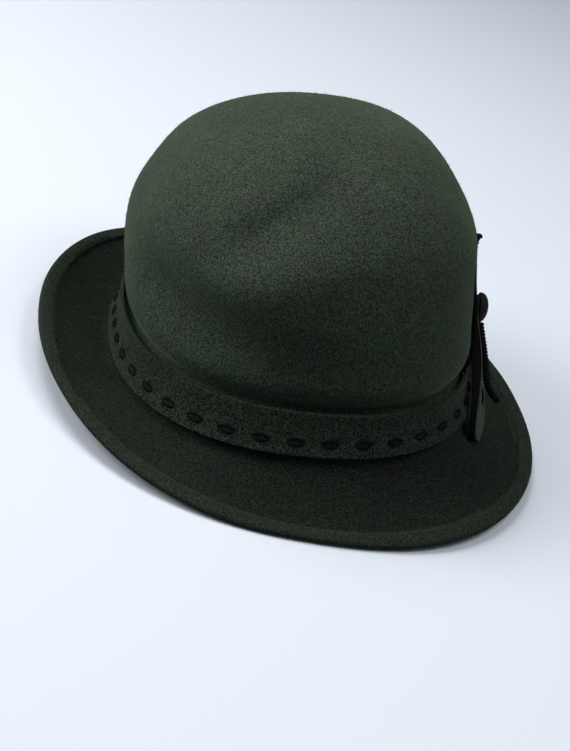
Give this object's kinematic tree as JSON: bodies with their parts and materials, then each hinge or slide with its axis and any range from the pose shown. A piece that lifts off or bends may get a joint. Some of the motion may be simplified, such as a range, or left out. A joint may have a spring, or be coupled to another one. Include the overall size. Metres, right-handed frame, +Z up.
{
  "type": "felt hat with brim",
  "caption": "Wool-felt hat with a tall rounded crown, a curved brim with a folded edge, a stitched felt band and a side trim of felt tab, domed button and chenille cord.",
  "frame": {"origin": "under the middle of the hat's box, on the surface that the hat rests on", "axes": "+Z up, -Y towards the front of the brim, +X towards the side that carries the trim (the wearer's left)"},
  "size_m": [0.2624, 0.2988, 0.1453],
  "materials": {
    "wool_felt": "dark forest green wool felt, mottled, fuzzy",
    "band_felt": "dark forest green wool felt, smooth",
    "tab_felt": "dark green wool felt, cut edge",
    "button_cloth": "near-black wool cloth",
    "chenille": "near-black chenille"
  },
  "bodies": {
    "root": {"hat_body": "wool_felt", "hat_band": "band_felt", "felt_tab": "tab_felt", "dome_button": "button_cloth", "tie_cord": "chenille", "free_cord": "chenille"}
  },
  "joints": []
}
